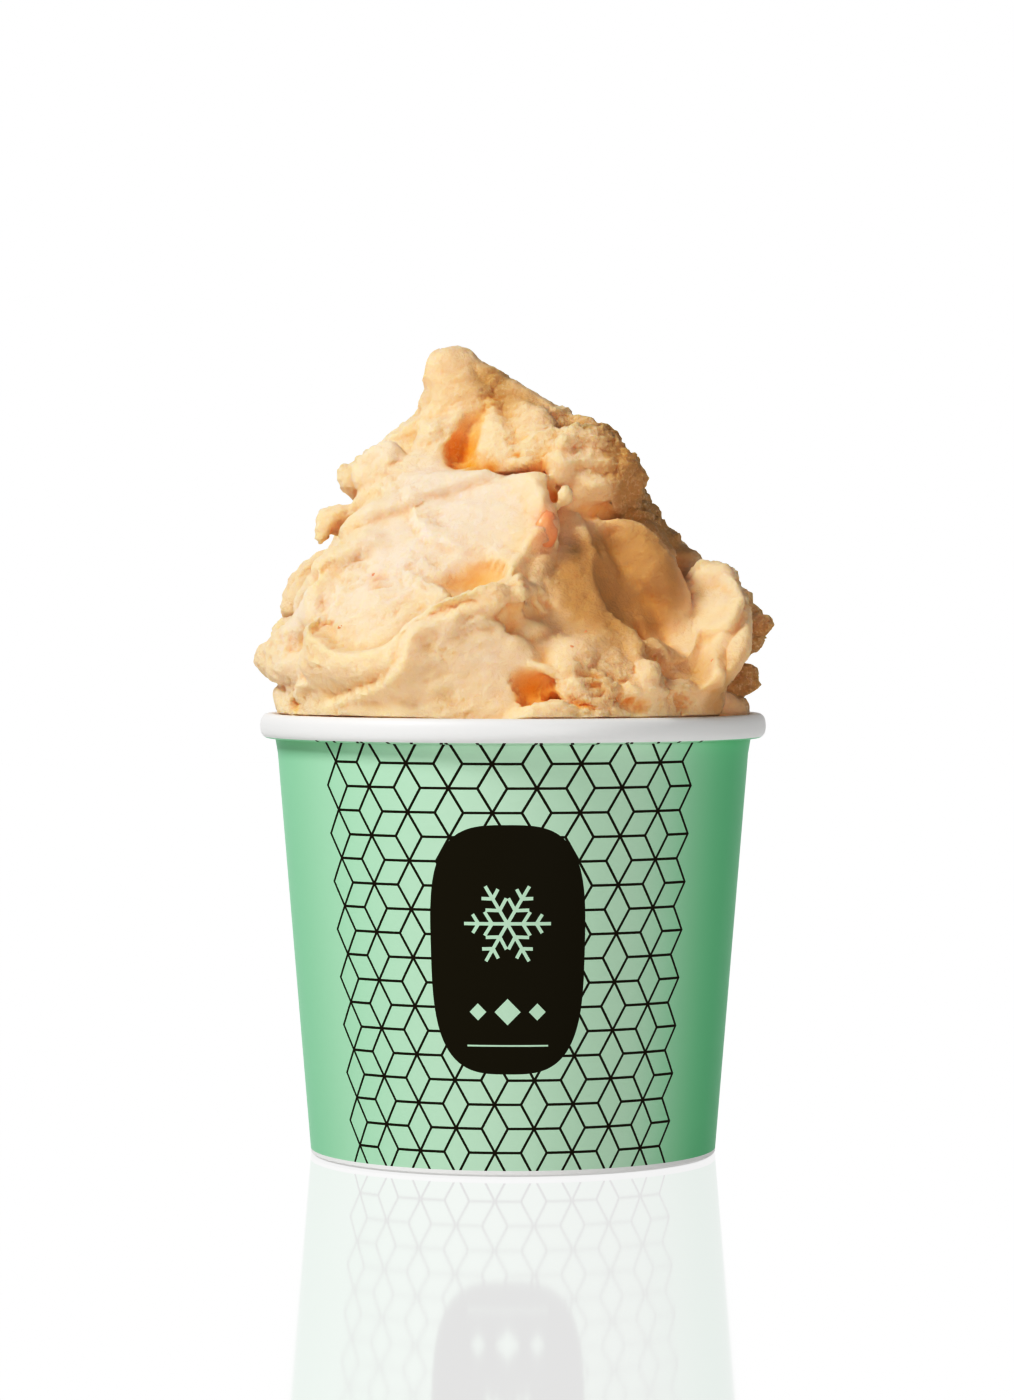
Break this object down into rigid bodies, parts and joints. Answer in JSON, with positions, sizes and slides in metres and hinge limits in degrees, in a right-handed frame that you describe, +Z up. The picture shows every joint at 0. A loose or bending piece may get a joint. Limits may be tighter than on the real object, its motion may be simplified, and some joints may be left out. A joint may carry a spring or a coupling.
{
  "type": "gelato cup",
  "caption": "Round tapered paper tub with a rolled rim and a recessed base, filled and heaped with folded, peaked apricot gelato.",
  "frame": {"origin": "centre of the tub's foot ring, on the surface that it stands on", "axes": "+Z up along the tub's centre line, -Y towards the printed front, +X to the right of the front"},
  "size_m": [0.0921, 0.0905, 0.1441],
  "materials": {
    "printed_paper": "satin coated paper, mint print, white rim",
    "white_board": "matt coated board",
    "gelato": "soft frozen cream, slightly frosty"
  },
  "bodies": {
    "root": {"cup_wall": "printed_paper", "cup_base": "white_board", "gelato": "gelato"}
  },
  "joints": []
}
